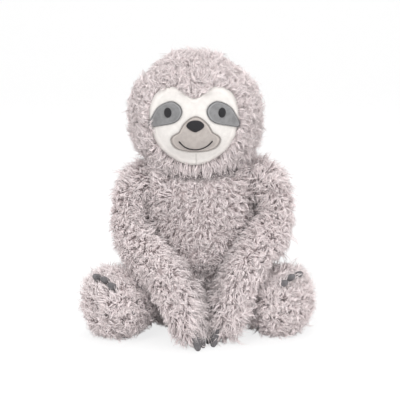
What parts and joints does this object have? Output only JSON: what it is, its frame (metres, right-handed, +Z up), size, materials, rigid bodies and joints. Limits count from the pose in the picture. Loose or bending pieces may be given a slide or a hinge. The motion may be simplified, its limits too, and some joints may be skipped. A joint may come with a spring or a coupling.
{
  "type": "plush sloth",
  "caption": "Seated plush sloth with a round stuffed head, a short-pile face with sewn patches, long arms resting together in front, round feet and felt claws.",
  "frame": {"origin": "middle of the flat seat, on the surface that the toy sits on", "axes": "+Z up; the toy faces -Y; +X is the toy's own left"},
  "size_m": [0.2235, 0.1675, 0.2737],
  "materials": {
    "plush": "long shaggy pile",
    "face_plush": "short velvety pile",
    "patch_grey": "short velvety pile",
    "patch_taupe": "short velvety pile",
    "stitching": "satin embroidery",
    "felt": "matte felt",
    "fibre_fill": "loose fibre",
    "bag_cloth": "plain weave"
  },
  "bodies": {
    "torso": {"body_cover": "plush", "body_filling": "fibre_fill", "pellet_bag": "bag_cloth"},
    "head": {"head_cover": "plush", "head_filling": "fibre_fill", "face_panel": "face_plush", "eye_patch_left": "patch_grey", "eye_patch_right": "patch_grey", "eye_left": "stitching", "eye_right": "stitching", "muzzle_patch": "patch_taupe", "nose": "stitching", "mouth": "stitching"},
    "arm_left": {"arm_left": "plush", "hand_claw_outer_left": "felt", "hand_claw_middle_left": "felt", "hand_claw_inner_left": "felt"},
    "arm_right": {"arm_right": "plush", "hand_claw_outer_right": "felt", "hand_claw_middle_right": "felt", "hand_claw_inner_right": "felt"},
    "leg_left": {"leg_cover_left": "plush", "leg_filling_left": "fibre_fill", "foot_claw_outer_left": "felt", "foot_claw_middle_left": "felt", "foot_claw_inner_left": "felt"},
    "leg_right": {"leg_cover_right": "plush", "leg_filling_right": "fibre_fill", "foot_claw_outer_right": "felt", "foot_claw_middle_right": "felt", "foot_claw_inner_right": "felt"}
  },
  "joints": [
    {"name": "neck_turn", "type": "hinge", "parent": "torso", "child": "head", "pos_m": [-0.005, 0.001, 0.172], "axis": [0, -0.1392, 0.9903], "range_deg": [-30, 30], "stiffness_Nm_per_rad": 0.2},
    {"name": "shoulder_left", "type": "hinge", "parent": "torso", "child": "arm_left", "pos_m": [0.057, 0, 0.15], "axis": [-1, 0, 0], "range_deg": [0, 75]},
    {"name": "shoulder_right", "type": "hinge", "parent": "torso", "child": "arm_right", "pos_m": [-0.056, 0, 0.149], "axis": [-1, 0, 0], "range_deg": [0, 75]},
    {"name": "hip_left", "type": "hinge", "parent": "torso", "child": "leg_left", "pos_m": [0.054, -0.017, 0.031], "axis": [0, 0, 1], "range_deg": [0, 30]},
    {"name": "hip_right", "type": "hinge", "parent": "torso", "child": "leg_right", "pos_m": [-0.054, -0.02, 0.031], "axis": [0, 0, -1], "range_deg": [0, 30]}
  ]
}
